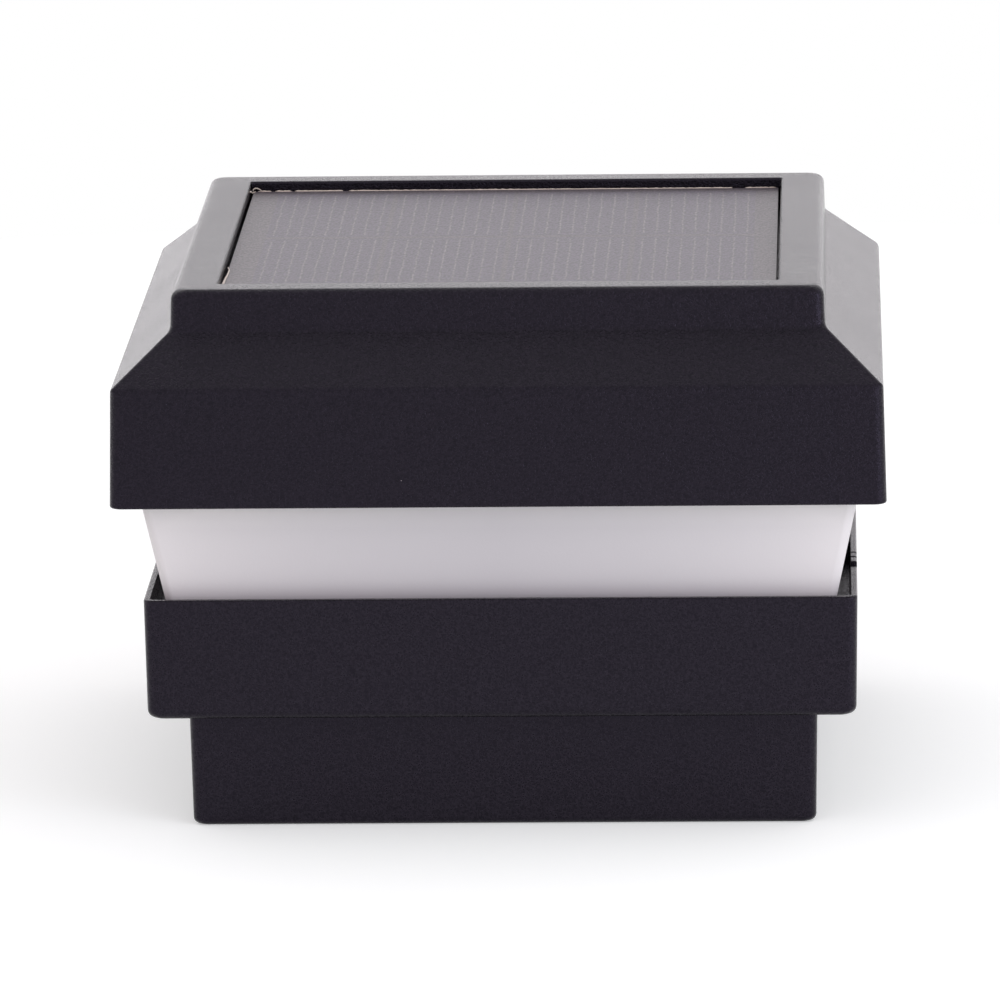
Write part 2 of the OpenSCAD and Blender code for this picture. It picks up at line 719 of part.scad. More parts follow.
// Knob of the switch, in the off position at the left end of its slot
module switch_knob() {
    grip = 0.3;
    tip_z = cover_z - knob_out;
    color([0.08, 0.08, 0.09]) translate([-switch_travel / 2, switch_y, 0]) difference() {
        box(about(0, knob_size[0]), about(0, knob_size[1]), [tip_z, board_z - 1]);
        for (x = [-1.4:0.7:1.4]) box(about(x, grip), about(0, 2 * knob_size[1]), [tip_z - cut, tip_z + grip]);
    }
}

// A turned form on the battery's axis, drawn as [radius, distance from its flat end]
module along_bay()
    translate([battery_back, bay_y, battery_z]) rotate([0, 90, 0]) rotate_extrude() children();

// Rechargeable AA cell, with its positive nub to the right
module battery_cell() {
    rim = battery_r - wrap_t;
    color([0.72, 0.72, 0.73]) along_bay() polygon([
        [0, 0], [rim - 0.8, 0], [rim, 0.6], [rim, battery_l - 3.4], [rim - 0.5, battery_l - 3],
        [rim, battery_l - 2.6], [rim, battery_l - 1.6], [rim - 0.6, battery_l - 1.3],
        [2.7, battery_l - 1.3], [2.6, battery_l - 0.2], [2.4, battery_l], [0, battery_l]]);
}

// Shrink sleeve round the cell
module battery_sleeve()
    color([0.16, 0.4, 0.3]) along_bay()
        translate([battery_r - wrap_t, 0.6]) square([wrap_t, battery_l - 2.2]);

// Plate with a tail up through the roof of the bay. s is the end: 1 or -1.
module contact(s) {
    plate = battery_r * 0.8;
    x = [s > 0 ? bay_half_l - contact_t : -bay_half_l, s > 0 ? bay_half_l : contact_t - bay_half_l];
    translate([0, bay_y, 0]) {
        box(x, about(0, 2 * plate), [battery_z - plate, bay_top - 0.2]);
        box(x, about(0, tail_w), [battery_z, bay_roof + tail_h]);
    }
}

module positive_contact()
    color([0.78, 0.77, 0.72]) union() {
        contact(1);
        translate([battery_front, bay_y, battery_z]) rotate([0, 90, 0])
            cylinder(h = contact_bulge + contact_t / 2, r1 = 1.6, r2 = 2.2);
    }

module negative_contact() color([0.78, 0.77, 0.72]) contact(-1);

// Conical spring that presses on the flat end of the cell
module contact_spring() {
    turns = 4;
    steps = 20;
    wire = 0.35;
    from_x = contact_t - bay_half_l + wire;
    to_x = battery_back - wire;
    path = [for (i = [0:turns * steps])
        let (t = i / (turns * steps), a = 360 * i / steps, r = 4.6 - 2 * t)
        [from_x + (to_x - from_x) * t, bay_y + r * cos(a), battery_z + r * sin(a)]];
    color([0.78, 0.77, 0.72]) tube(path, wire, 6, [1, 0, 0]);
}

// A lead from a contact's tail, over the bay and down to the circuit board
module battery_lead(s) {
    x = s * battery_lead_x;
    tail_z = bay_roof + 1.5 * wire_r;
    bend_y = bay_y - bay_half_w - bay_wall - 6 * wire_r;
    pad_y = board_back - 5 * wire_r;
    tube(concat(
        [[x, bay_y, tail_z], [x, bay_y - tail_w, tail_z]],
        curve([x, bay_y - bay_half_w, tail_z], [x, bend_y, tail_z],
              [x, pad_y, tail_z - 5 * wire_r], [x, pad_y, board_top + 5 * wire_r], 10),
        [[x, pad_y, board_top]]), wire_r, 8, [1, 0, 0]);
}

module battery_lead_red() color([0.7, 0.08, 0.07]) battery_lead(1);

module battery_lead_black() color([0.06, 0.06, 0.07]) battery_lead(-1);

// Door of the battery bay, flush with the cover
module battery_door()
    color([0.88, 0.88, 0.86]) difference() {
        translate([0, bay_y, 0]) block([door_half_l, door_half_w], 0.8, cover_z, cover_z + door_t);
        pair(door_screw_x, bay_y) rod(door_screw_r + hole_play, [cover_z - cut, cover_top]);
        // Grip grooves
        for (x = [-6:2:6]) box(about(x, 0.8), about(bay_y, door_half_w), [cover_z - cut, cover_z + 0.5]);
    }

// Soft seal between the door and its ledge, with eyes round the screws
module door_seal() {
    z = [cover_z + door_t, cover_top];
    color([0.25, 0.25, 0.26]) difference() {
        translate([0, bay_y, 0]) {
            difference() {
                block([door_half_l - 0.4, door_half_w - 0.4], 0.6, z[0], z[1]);
                block([bay_half_l, bay_half_w + 0.4], 0.6, z[0] - cut, z[1] + cut);
            }
        }
        pair(door_screw_x, bay_y) rod(door_screw_r + hole_play, [z[0] - cut, z[1] + cut]);
    }
}

module door_screws()
    color([0.62, 0.62, 0.64]) pair(door_screw_x, bay_y) translate([0, 0, cover_z]) screw(door_screw);

post_adapter();
base_tray();
diffuser_bowl();
head_housing();
panel_sealant();
panel_backing();
solar_cells();
cell_ribbons();
panel_sheet();
wire_seal();
panel_lead_red();
panel_lead_black();
under_cover();
cover_gasket();
cover_screws();
circuit_board();
driver_chip();
inductor();
capacitor();
board_screws();
left_led();
right_led();
switch_body();
switch_knob();
battery_cell();
battery_sleeve();
positive_contact();
negative_contact();
contact_spring();
battery_lead_red();
battery_lead_black();
battery_door();
door_seal();
door_screws();
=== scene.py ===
"""A square solar light that caps a deck post: adapter sleeve, base tray, frosted bowl and lift-off head."""

import math

import bpy
import numpy as np
from mathutils import Euler, Matrix, Vector, noise


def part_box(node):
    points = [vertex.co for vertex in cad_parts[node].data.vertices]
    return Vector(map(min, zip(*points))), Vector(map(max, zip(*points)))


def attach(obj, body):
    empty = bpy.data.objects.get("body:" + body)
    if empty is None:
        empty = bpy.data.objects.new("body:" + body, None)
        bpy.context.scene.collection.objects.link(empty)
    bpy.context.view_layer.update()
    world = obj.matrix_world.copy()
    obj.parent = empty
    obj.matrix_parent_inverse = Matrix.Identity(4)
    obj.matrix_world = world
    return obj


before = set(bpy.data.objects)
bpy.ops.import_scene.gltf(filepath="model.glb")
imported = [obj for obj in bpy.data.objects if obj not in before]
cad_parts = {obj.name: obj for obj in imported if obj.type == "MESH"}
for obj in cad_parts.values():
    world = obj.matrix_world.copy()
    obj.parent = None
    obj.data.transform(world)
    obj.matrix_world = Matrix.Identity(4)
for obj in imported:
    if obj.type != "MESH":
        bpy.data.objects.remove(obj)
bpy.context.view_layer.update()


# ---- Base: adapter sleeve and tray ----
# Two injection moulded pieces in black plastic with a fine spark-eroded grain. The sleeve slides over
# a wood post and plugs into the tray, and the tray is screwed down through its floor.

TRAY_COLOUR = (0.0030, 0.0026, 0.0034)
TRAY_GRAIN_DEPTH, TRAY_ROUGHNESS = 0.00007, 0.15
GRAIN_SIZE = 0.00036
BLACK_IOR = 1.33
BLACK_SHEEN = (0.82, 0.72, 1.0, 1)
PAINTED_PEAK_HIGHLIGHT = 3.5
DUST = (0.3, 0.28, 0.27)
DUST_SIZE = 0.018
DUST_SHARE = 0.10


def soften(piece, crisp=50):
    """Rolls the shading over a moulding's small rounds and keeps every edge sharper than crisp degrees."""
    mesh = piece.data
    place = np.empty(len(mesh.vertices) * 3)
    mesh.vertices.foreach_get("co", place)
    place = place.reshape(-1, 3)
    corner = np.empty(len(mesh.loops), int)
    mesh.loops.foreach_get("vertex_index", corner)
    triangle = place[corner].reshape(-1, 3, 3)
    side = np.roll(triangle, -1, 1) - triangle
    facing = np.cross(side[:, 0], side[:, 1])
    area = np.linalg.norm(facing, axis=1)
    facing /= np.maximum(area, 1e-20)[:, None]
    length = np.maximum(np.linalg.norm(side, axis=2), 1e-12)
    turn = -(side * np.roll(side, 1, 1)).sum(2) / (length * np.roll(length, 1, 1))
    pull = (np.arccos(np.clip(turn, -1, 1)) * area[:, None]).ravel()
    owner = np.repeat(np.arange(len(triangle)), 3)
    spot = np.unique(np.round(place[corner], 7), axis=0, return_inverse=True)[1].ravel()
    order = np.argsort(spot, kind="stable")
    ends = np.flatnonzero(np.diff(spot[order])) + 1
    rolled = np.empty((len(corner), 3))
    for group in np.split(order, ends):
        around = facing[owner[group]]
        near = around @ around.T > math.cos(math.radians(crisp))
        rolled[group] = (near * pull[group]) @ around
    rolled /= np.maximum(np.linalg.norm(rolled, axis=1), 1e-20)[:, None]
    mesh.shade_smooth()
    mesh.normals_split_custom_set(rolled.tolist())


def finish(name, colour, roughness, **sockets):
    """A new finish, with what is the same all over it set on its shader."""
    made = bpy.data.materials.new(name)
    made.use_nodes = True
    shader = made.node_tree.nodes["Principled BSDF"]
    sockets = {"Base Color": (*colour, 1), "Roughness": roughness, **sockets}
    for socket, value in sockets.items():
        shader.inputs[socket].default_value = value
    return made


def add(made, kind, inputs, out=0, **settings):
    """Adds a texture or a sum to a finish and returns what comes out of it."""
    node = made.node_tree.nodes.new("ShaderNode" + kind)
    for name, value in settings.items():
        setattr(node, name, value)
    for name, value in inputs.items():
        if isinstance(value, bpy.types.NodeSocket):
            made.node_tree.links.new(value, node.inputs[name])
        else:
            node.inputs[name].default_value = value
    return node.outputs[out]


def wire(made, socket, value):
    """Lets value drive one socket of a finish's shader."""
    made.node_tree.links.new(value, made.node_tree.nodes["Principled BSDF"].inputs[socket])


def where(made):
    """A point on the piece, in metres in the object's own frame."""
    return add(made, "TexCoord", {}, out="Object")


def scale_to(made, value, low, high, to_low, to_high):
    """Value carried from one range to another, and held at its ends."""
    ends = {"Value": value, 1: low, 2: high, 3: to_low, 4: to_high}
    return add(made, "MapRange", ends)


def shade(made, share, one, other):
    """A colour between two, by share."""
    ends = {0: share, 6: one if isinstance(one, bpy.types.NodeSocket) else (*one, 1)}
    ends[7] = other if isinstance(other, bpy.types.NodeSocket) else (*other, 1)
    return add(made, "Mix", ends, out=2, data_type="RGBA")


def emboss(made, height, depth):
    """Raises the surface by depth metres where height is 1."""
    raised = {"Height": height, "Distance": depth, "Strength": 1.0}
    wire(made, "Normal", add(made, "Bump", raised))


def grained_black(name, colour, depth, gloss):
    """Black moulding with an eroded grain that carries a painted highlight where it stands highest, a faint
    mottle in its gloss and rare dust.
    """
    made = finish(name, colour, gloss, IOR=BLACK_IOR, **{"Specular Tint": BLACK_SHEEN})
    spot = where(made)
    wrinkle = {"Vector": spot, "Scale": 1 / GRAIN_SIZE, "Detail": 1.0, "Roughness": 0.5, "Distortion": 1.2}
    grain = add(made, "TexNoise", wrinkle)
    emboss(made, grain, depth)
    mottle = add(made, "TexNoise", {"Vector": spot, "Scale": 55.0, "Detail": 3.0})
    wire(made, "Roughness", scale_to(made, mottle, 0.3, 0.7, gloss - 0.015, gloss + 0.02))
    fleck = {"Vector": spot, "Scale": 210.0}
    near = add(made, "TexVoronoi", fleck)
    chance = add(made, "SeparateColor", {0: add(made, "TexVoronoi", fleck, out="Color")})
    speck = add(made, "Math", {0: near, 1: DUST_SIZE}, operation="LESS_THAN")
    rare = add(made, "Math", {0: chance, 1: DUST_SHARE}, operation="LESS_THAN")
    dust = add(made, "Math", {0: speck, 1: rare}, operation="MULTIPLY")
    # Painted highlight: the grain is paler in colour where it stands highest, in place of the glints it would
    # catch.
    painted_highlight_share = scale_to(made, grain, 0.35, 0.65, 0.0, 1.0)
    grain_with_painted_highlight = shade(made, painted_highlight_share, [0.0, 0.0, 0.0], [c * PAINTED_PEAK_HIGHLIGHT for c in colour])
    wire(made, "Base Color", shade(made, dust, grain_with_painted_highlight, DUST))
    return made


def dress(node, made):
    """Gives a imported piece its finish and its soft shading."""
    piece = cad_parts[node]
    piece.material_slots[0].material = made
    soften(piece)


tray_black = grained_black("tray_black", TRAY_COLOUR, TRAY_GRAIN_DEPTH, TRAY_ROUGHNESS)
dress("post_adapter", tray_black)
dress("base_tray", tray_black)


# ---- Diffuser bowl ----
# One frosted moulding in milky plastic, 1.6 mm thick, held under catches on the tray. Its colour holds
# painted light: paler toward the corners, and paler in the shade of the head to offset that shade.

BOWL_COLOUR = (0.585, 0.583, 0.588)
BOWL_PAINTED_LIGHT = (0.79, 0.785, 0.77)
BOWL_HALF = 0.051
PAINTED_LIFT_START, PAINTED_LIFT_END = 0.0465, 0.0505


def axis_of(made, letter):
    """How far along x, y or z a point on the piece is."""
    return add(made, "SeparateXYZ", {0: where(made)}, out=letter)


def sums(made):
    """Short ways to write a finish's arithmetic."""
    def do(operation, a, b=0.0):
        return add(made, "Math", {0: a, 1: b}, operation=operation)
    return do


frosted = finish("frosted_bowl", BOWL_COLOUR, 0.5)
do = sums(frosted)
# Painted light: the colour grows paler toward the bowl's corners.
off_middle = do("MINIMUM", do("ABSOLUTE", axis_of(frosted, "X")), do("ABSOLUTE", axis_of(frosted, "Y")))
out_to_corner = scale_to(frosted, off_middle, 0.0, BOWL_HALF, 0.0, 1.0)
painted_corner_pile = do("MULTIPLY", do("POWER", out_to_corner, 4.0), 0.6)
corner = do("ADD", do("MULTIPLY", out_to_corner, 0.4), painted_corner_pile)
# Painted light: the colour grows paler just under the head, offsetting the head's shade.
painted_light_under_head = scale_to(frosted, axis_of(frosted, "Z"), PAINTED_LIFT_START, PAINTED_LIFT_END, 0.0, 0.4)
painted_light_share = do("MINIMUM", do("ADD", corner, painted_light_under_head), 1.0)
cloud = add(frosted, "TexNoise", {"Vector": where(frosted), "Scale": 40.0, "Detail": 2.0})
cloudy = shade(frosted, cloud, [c * 0.97 for c in BOWL_COLOUR], BOWL_COLOUR)
wire(frosted, "Base Color", shade(frosted, painted_light_share, cloudy, BOWL_PAINTED_LIGHT))
frost = add(frosted, "TexNoise", {"Vector": where(frosted), "Scale": 2600.0, "Detail": 1.0})
emboss(frosted, frost, 0.00001)
dress("diffuser_bowl", frosted)


# ---- Under cover and battery door ----
# Plain white mouldings that close the head from below. The battery bay is part of the cover, and its
# door sits flush under it. They have a smooth finish, a little yellow, with faint flow marks.

WHITE_PLASTIC = (0.78, 0.775, 0.74)

white = finish("white_moulding", WHITE_PLASTIC, 0.38)
flow = {"Vector": where(white), "Scale": 22.0, "Detail": 3.0, "Distortion": 1.4}
streak = add(white, "TexNoise", flow)
wire(white, "Base Color", shade(white, streak, [c * 0.95 for c in WHITE_PLASTIC], WHITE_PLASTIC))
wire(white, "Roughness", scale_to(white, streak, 0.35, 0.65, 0.34, 0.44))
pores = add(white, "TexNoise", {"Vector": where(white), "Scale": 1900.0, "Detail": 2.0})
emboss(white, pores, 0.000006)
dress("under_cover", white)
dress("battery_door", white)


# ---- Gasket and door seal ----
# Dark closed-cell foam, die cut and stuck down. It keeps water out of the electronics.

foam = finish("seal_foam", (0.035, 0.035, 0.04), 0.85)
cells = add(foam, "TexVoronoi", {"Vector": where(foam), "Scale": 2600.0})
wire(foam, "Base Color", shade(foam, cells, (0.022, 0.022, 0.026), (0.055, 0.055, 0.062)))
emboss(foam, cells, 0.00006)
dress("cover_gasket", foam)
dress("door_seal", foam)


# ---- Screws ----
# Small pan head screws in zinc-plated steel, with a cross recess. Four hold the cover, two the door
# and two the circuit board. The plating is a little uneven in tone.

zinc = finish("zinc_plate", (0.62, 0.62, 0.64), 0.3, Metallic=1.0)
bloom = add(zinc, "TexNoise", {"Vector": where(zinc), "Scale": 420.0, "Detail": 3.0})
wire(zinc, "Base Color", shade(zinc, bloom, (0.50, 0.51, 0.54), (0.70, 0.69, 0.67)))
wire(zinc, "Roughness", scale_to(zinc, bloom, 0.3, 0.7, 0.22, 0.42))
for screws in ("cover_screws", "door_screws", "board_screws"):
    dress(screws, zinc)


# ---- Circuit board ----
# Green lacquered board with tinned tracks, held by two screws on posts of the cover. It carries the
# charger and the lamp driver: one chip, an inductor and a capacitor, all through the board.

board = finish("green_lacquer", (0.02, 0.13, 0.045), 0.28)
track = {"Vector": where(board), "Scale": 330.0, "Randomness": 0.75}
lane = add(board, "TexVoronoi", track, distance="MANHATTAN", feature="F2")
copper = scale_to(board, lane, 0.78, 0.84, 0.0, 1.0)
wire(board, "Base Color", shade(board, copper, (0.013, 0.10, 0.035), (0.035, 0.20, 0.065)))
emboss(board, copper, 0.00003)
dress("circuit_board", board)


def tinned_where(made, legs, colour, tin=(0.72, 0.72, 0.74)):
    """Bright tin on a part's legs, where legs is 1, and colour on its body."""
    wire(made, "Base Color", shade(made, legs, colour, tin))
    wire(made, "Metallic", legs)


CHIP_BLACK = (0.02, 0.02, 0.024)
LEG_HEIGHT = 0.00199

chip = finish("chip_epoxy", CHIP_BLACK, 0.5)
chip_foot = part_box("driver_chip")[0].z
legs = add(chip, "Math", {0: axis_of(chip, "Z"), 1: chip_foot + LEG_HEIGHT}, operation="LESS_THAN")
tinned_where(chip, legs, CHIP_BLACK)
emboss(chip, add(chip, "TexNoise", {"Vector": where(chip), "Scale": 6000.0}), 0.000012)
dress("driver_chip", chip)

COIL_HALF = 0.0045
GREEN_DIP = (0.05, 0.22, 0.13)
BANDS = [(0.24, (0.32, 0.12, 0.03)), (0.33, GREEN_DIP), (0.43, (0.01, 0.01, 0.01)), (0.52, GREEN_DIP),
         (0.62, (0.35, 0.02, 0.02)), (0.71, GREEN_DIP)]

coil_low, coil_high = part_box("inductor")
coil_middle = (coil_low.x + coil_high.x) / 2
coil = finish("dipped_coil", GREEN_DIP, 0.25)
along = add(coil, "Math", {0: axis_of(coil, "X"), 1: coil_middle}, operation="SUBTRACT")
band = add(coil, "ValToRGB", {0: scale_to(coil, along, -COIL_HALF, COIL_HALF, 0.0, 1.0)})
ramp = band.node.color_ramp
ramp.interpolation = "CONSTANT"
ramp.elements[0].color = (*GREEN_DIP, 1)
ramp.elements[1].position = 0.8
ramp.elements[1].color = (*GREEN_DIP, 1)
for start, tone in BANDS:
    ramp.elements.new(start).color = (*tone, 1)
off = add(coil, "Math", {0: along}, operation="ABSOLUTE")
tinned_where(coil, add(coil, "Math", {0: off, 1: COIL_HALF - 0.00001}, operation="GREATER_THAN"), band)
dress("inductor", coil)

CAN_BLUE = (0.03, 0.04, 0.13)

can_low, can_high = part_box("capacitor")
can = finish("capacitor_sleeve", CAN_BLUE, 0.3)
top = add(can, "Math", {0: axis_of(can, "Z"), 1: can_high.z - 0.0004}, operation="GREATER_THAN")
side = add(can, "Math", {0: axis_of(can, "X"), 1: can_low.x + 0.0006}, operation="LESS_THAN")
sleeve = shade(can, side, CAN_BLUE, (0.55, 0.56, 0.6))
tinned_where(can, top, sleeve, (0.8, 0.8, 0.82))
dress("capacitor", can)


# ---- Lamps ----
# Two 5 mm lamps in clear epoxy that point down through the cover into the bowl. A yellow phosphor
# colours the middle of each. Their tinned legs go up into the board.

lamp = finish("lamp_epoxy", (0.93, 0.9, 0.62), 0.08, IOR=1.53)
lamp_low, lamp_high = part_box("left_led")
flange = add(lamp, "Math", {0: axis_of(lamp, "Z"), 1: lamp_high.z - 0.00101}, operation="GREATER_THAN")
core = scale_to(lamp, axis_of(lamp, "Z"), lamp_low.z, lamp_high.z, 0.0, 1.0)
clear = shade(lamp, core, (0.95, 0.94, 0.85), (0.93, 0.86, 0.42))
tinned_where(lamp, flange, clear)
wire(lamp, "Transmission Weight", scale_to(lamp, core, 0.2, 0.7, 0.75, 0.2))
dress("left_led", lamp)
dress("right_led", lamp)


# ---- Switch ----
# A slide switch under the board: a stamped metal can, and a black knob that comes down through the
# cover. The knob has grip grooves across its tip.

stamped = finish("stamped_can", (0.62, 0.62, 0.63), 0.35, Metallic=1.0)
rolled_grain = {"Vector": where(stamped), "Scale": 900.0, "Detail": 2.0, "Distortion": 0.4}
rolling = add(stamped, "TexNoise", rolled_grain)
wire(stamped, "Roughness", scale_to(stamped, rolling, 0.3, 0.7, 0.28, 0.45))
wire(stamped, "Base Color", shade(stamped, rolling, (0.55, 0.55, 0.56), (0.68, 0.68, 0.69)))
dress("switch_body", stamped)

knob = finish("knob_black", (0.02, 0.02, 0.023), 0.4)
rub = add(knob, "TexNoise", {"Vector": where(knob), "Scale": 1500.0, "Detail": 2.0})
wire(knob, "Base Color", shade(knob, rub, (0.014, 0.014, 0.017), (0.03, 0.03, 0.034)))
emboss(knob, rub, 0.00001)
dress("switch_knob", knob)


# ---- Battery and contacts ----
# One rechargeable cell: a nickel-plated can in a plain green shrink sleeve. It sits between a flat
# plate with a raised nub and a cone spring, both nickel-plated.

nickel = finish("nickel_plate", (0.72, 0.71, 0.67), 0.22, Metallic=1.0)
handling = add(nickel, "TexNoise", {"Vector": where(nickel), "Scale": 300.0, "Detail": 4.0})
wire(nickel, "Roughness", scale_to(nickel, handling, 0.3, 0.7, 0.16, 0.34))
wire(nickel, "Base Color", shade(nickel, handling, (0.66, 0.65, 0.61), (0.77, 0.76, 0.73)))
for metal in ("battery_cell", "positive_contact", "negative_contact", "contact_spring"):
    dress(metal, nickel)

shrunk = finish("shrink_sleeve", (0.03, 0.2, 0.11), 0.22)
pucker = {"Vector": where(shrunk), "Scale": 260.0, "Detail": 3.0, "Distortion": 0.6}
creases = add(shrunk, "TexNoise", pucker)
wire(shrunk, "Base Color", shade(shrunk, creases, (0.025, 0.17, 0.095), (0.04, 0.24, 0.13)))
emboss(shrunk, creases, 0.00004)
dress("battery_sleeve", shrunk)


# ---- Leads ----
# Thin stranded wire in red and black insulation, from the panel and from the battery's contacts down
# to the board. A plug of white silicone seals the hole where the panel's pair comes through.

def insulation(name, colour):
    """Soft insulation, a little uneven in gloss along the wire."""
    made = finish(name, colour, 0.45)
    drawn = add(made, "TexNoise", {"Vector": where(made), "Scale": 700.0, "Detail": 2.0})
    wire(made, "Base Color", shade(made, drawn, [c * 0.85 for c in colour], [c * 1.1 for c in colour]))
    wire(made, "Roughness", scale_to(made, drawn, 0.3, 0.7, 0.38, 0.55))
    return made


red = insulation("red_insulation", (0.42, 0.02, 0.02))
black = insulation("black_insulation", (0.02, 0.02, 0.022))
for run in ("panel_lead", "battery_lead"):
    dress(run + "_red", red)
    dress(run + "_black", black)


def silicone(name, colour):
    """Cured silicone: soft, milky and a little lumpy."""
    made = finish(name, colour, 0.35)
    lump = add(made, "TexNoise", {"Vector": where(made), "Scale": 900.0, "Detail": 2.0})
    wire(made, "Base Color", shade(made, lump, [c * 0.88 for c in colour], colour))
    emboss(made, lump, 0.00005)
    return made


dress("wire_seal", silicone("white_silicone", (0.75, 0.75, 0.72)))


# ---- Head housing ----
# The cap's shell, one injection moulding: the raised frame round the panel, the sloping shoulder and
# the skirt. Black plastic, with the same eroded grain as the base but deeper.

HEAD_COLOUR = (0.0022, 0.0018, 0.0025)
HEAD_GRAIN_DEPTH, HEAD_ROUGHNESS = 0.00010, 0.13

head_black = grained_black("head_black", HEAD_COLOUR, HEAD_GRAIN_DEPTH, HEAD_ROUGHNESS)
dress("head_housing", head_black)


# ---- Solar panel ----
# A dark laminate carries two rows of four silicon cells, joined by tinned ribbons. A grained clear sheet
# is bonded over them, and blurs the fine silver fingers that run front to back on each cell.

mm = 0.001
CELL_MIDDLE = 0.3 * mm
CELL_PITCH = 18.9 * mm
CELL_HALF = 9.05 * mm
FINGER_PITCH = 1.99 * mm
ROWS = ((-35.7 * mm, 1.1 * mm), (2.7 * mm, 39.5 * mm))
FINGER_END = 1.3 * mm

laminate = finish("dark_laminate", (0.03, 0.03, 0.035), 0.5)
weave = add(laminate, "TexWave", {"Vector": where(laminate), "Scale": 600.0, "Distortion": 2.0})
wire(laminate, "Base Color", shade(laminate, weave, (0.024, 0.024, 0.028), (0.04, 0.04, 0.046)))
dress("panel_backing", laminate)
cream = silicone("cream_silicone", (0.66, 0.60, 0.50))
dress("panel_sealant", cream)

tin_ribbon = finish("tinned_ribbon", (0.75, 0.75, 0.77), 0.3, Metallic=1.0)
dipped = add(tin_ribbon, "TexNoise", {"Vector": where(tin_ribbon), "Scale": 500.0, "Detail": 2.0})
wire(tin_ribbon, "Roughness", scale_to(tin_ribbon, dipped, 0.3, 0.7, 0.22, 0.45))
dress("cell_ribbons", tin_ribbon)


def cells_and_fingers(made, wander):
    """Where the cells lie and where their fingers run. wander is how far a finger strays, in metres."""
    do = sums(made)
    x, y = axis_of(made, "X"), axis_of(made, "Y")
    ripple = {"Vector": where(made), "Scale": 160.0, "Detail": 4.0, "Roughness": 0.75}
    stray = do("MULTIPLY", do("SUBTRACT", add(made, "TexNoise", ripple), 0.5), wander)
    from_left = do("ADD", do("SUBTRACT", x, CELL_MIDDLE), 2 * CELL_PITCH)
    cell = do("SUBTRACT", do("MODULO", from_left, CELL_PITCH), CELL_PITCH / 2)
    inside = do("LESS_THAN", do("ABSOLUTE", cell), CELL_HALF)
    for end in ("GREATER_THAN", "LESS_THAN"):
        limit = -2 * CELL_PITCH if end == "GREATER_THAN" else 2 * CELL_PITCH
        inside = do("MULTIPLY", inside, do(end, do("SUBTRACT", x, CELL_MIDDLE), limit))
    slot = do("MULTIPLY", do("ADD", cell, stray), 1 / FINGER_PITCH)
    off_line = do("ABSOLUTE", do("SUBTRACT", slot, do("ROUND", slot)))
    line = scale_to(made, off_line, 0.03, 0.10, 1.0, 0.0)
    on_cells, on_lines = None, None
    for front, rear in ROWS:
        here = do("MULTIPLY", do("GREATER_THAN", y, front), do("LESS_THAN", y, rear))
        past_front = do("GREATER_THAN", y, front + FINGER_END)
        ends = do("MULTIPLY", past_front, do("LESS_THAN", y, rear - FINGER_END))
        on_cells = here if on_cells is None else do("ADD", on_cells, here)
        on_lines = ends if on_lines is None else do("ADD", on_lines, ends)
    return do("MULTIPLY", inside, on_cells), do("MULTIPLY", do("MULTIPLY", inside, line), on_lines)


silicon = finish("silicon", (0.02, 0.025, 0.06), 0.25)
crystal = add(silicon, "TexVoronoi", {"Vector": where(silicon), "Scale": 260.0}, out="Color")
flake = add(silicon, "SeparateColor", {0: crystal})
blue = shade(silicon, flake, (0.012, 0.016, 0.05), (0.03, 0.04, 0.10))
fingers = cells_and_fingers(silicon, 0.0)[1]
wire(silicon, "Base Color", shade(silicon, fingers, blue, (0.55, 0.55, 0.57)))
dress("solar_cells", silicon)

sheet = finish("panel_sheet", (0.03, 0.03, 0.05), 0.42, IOR=1.7)
on_cells, on_lines = cells_and_fingers(sheet, 0.0007)
seen = shade(sheet, on_cells, (0.112, 0.094, 0.106), (0.094, 0.076, 0.112))
along_fingers = add(sheet, "Mapping", {"Vector": where(sheet), "Scale": (1.0, 0.35, 1.0)})
grit = add(sheet, "TexNoise", {"Vector": along_fingers, "Scale": 3000.0, "Detail": 1.0, "Roughness": 0.6})
faint = add(sheet, "Math", {0: on_lines, 1: 0.45}, operation="MULTIPLY")
seen = shade(sheet, faint, seen, (0.30, 0.29, 0.25))
pitted = scale_to(sheet, grit, 0.3, 0.7, 0.0, 0.8)
wire(sheet, "Base Color", shade(sheet, pitted, seen, (0.02, 0.019, 0.026)))
emboss(sheet, grit, 0.00009)
dress("panel_sheet", sheet)


# ---- Squeezed-out sealant ----
# The panel is bedded in cream silicone, and a little of it came up round the sheet's edge: a thin beaded
# line along the rear, a blob and a curl in the rear left corner and a strand at the front left.

SHEET_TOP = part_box("panel_sheet")[1].z
REAR_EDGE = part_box("panel_sheet")[1].y
BEAD_RUNS = ((-40.6, -38.5), (-37.9, -35.3), (-34.8, -27.2), (-26.3, 34.0), (36.0, 40.9))


def squeeze(name, centres, radii):
    """A lumpy round string of silicone along its centres, closed at both ends."""
    points, faces, around = [], [], 8
    for index, (centre, radius) in enumerate(zip(centres, radii)):
        back, on = centres[max(index - 1, 0)], centres[min(index + 1, len(centres) - 1)]
        lengthwise = (on - back).normalized()
        across = lengthwise.cross(Vector((0, 0, 1))).normalized()
        rise = across.cross(lengthwise)
        for step in range(around):
            turn = 2 * math.pi * step / around
            out = across * math.cos(turn) + rise * math.sin(turn)
            lump = 1 + 0.3 * noise.noise(centre * 2600 + out * 1.3)
            points.append(centre + out * radius * lump)
    for ring in range(len(centres) - 1):
        for step in range(around):
            here, beside = ring * around + step, ring * around + (step + 1) % around
            faces.append((here, beside, beside + around, here + around))
    faces.append(tuple(range(around))[::-1])
    faces.append(tuple(range((len(centres) - 1) * around, len(centres) * around)))
    shape = bpy.data.meshes.new(name)
    shape.from_pydata(points, [], faces)
    shape.shade_smooth()
    piece = bpy.data.objects.new(name, shape)
    bpy.context.scene.collection.objects.link(piece)
    piece.data.materials.append(cream)
    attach(piece, "head")


